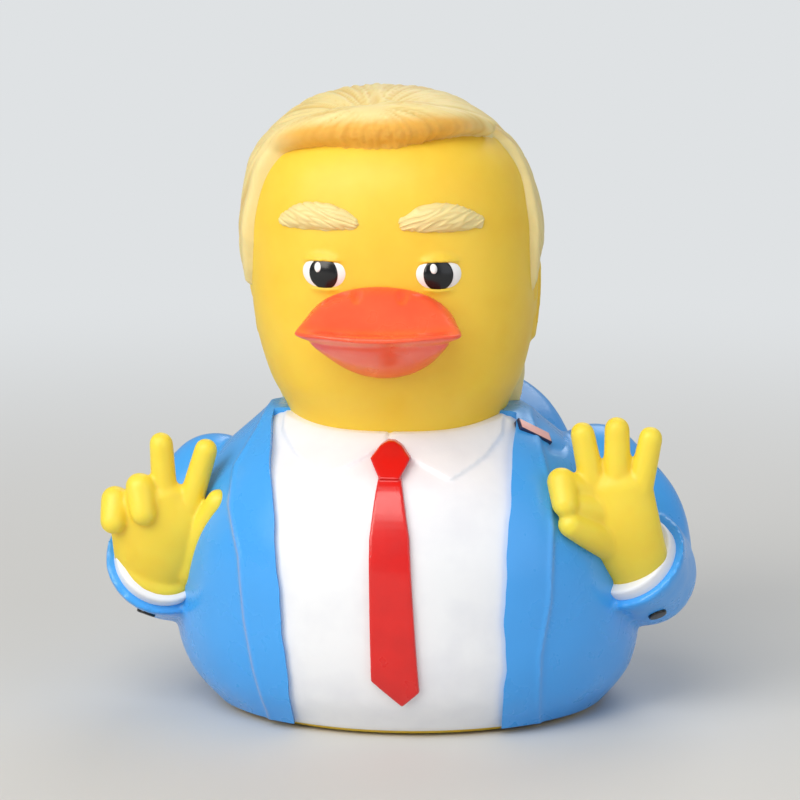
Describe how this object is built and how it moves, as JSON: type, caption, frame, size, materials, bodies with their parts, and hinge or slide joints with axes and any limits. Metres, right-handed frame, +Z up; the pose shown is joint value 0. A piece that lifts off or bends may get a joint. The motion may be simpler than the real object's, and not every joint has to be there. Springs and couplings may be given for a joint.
{
  "type": "rubber duck",
  "caption": "Squeaky rubber duck in a painted suit jacket, shirt and tie, hands raised, with a plastic whistle pressed into its flat base.",
  "frame": {"origin": "floor point under the middle of the bounding box", "axes": "+Z up, -Y the way the duck faces, +X the duck's left"},
  "size_m": [0.0894, 0.0774, 0.0944],
  "materials": {
    "vinyl": "soft yellow vinyl, moulded, satin",
    "whistle_plastic": "white polythene, moulded",
    "jacket_paint": "sky blue paint, sprayed through a mask",
    "shirt_paint": "white paint, sprayed through a mask",
    "tie_paint": "red paint, sprayed through a mask",
    "bill_paint": "orange paint, sprayed through a mask",
    "hair_paint": "pale yellow paint, matt",
    "eye_paint": "white and black enamel, printed"
  },
  "bodies": {
    "root": {"duck_body": "vinyl", "whistle": "whistle_plastic"}
  },
  "joints": []
}
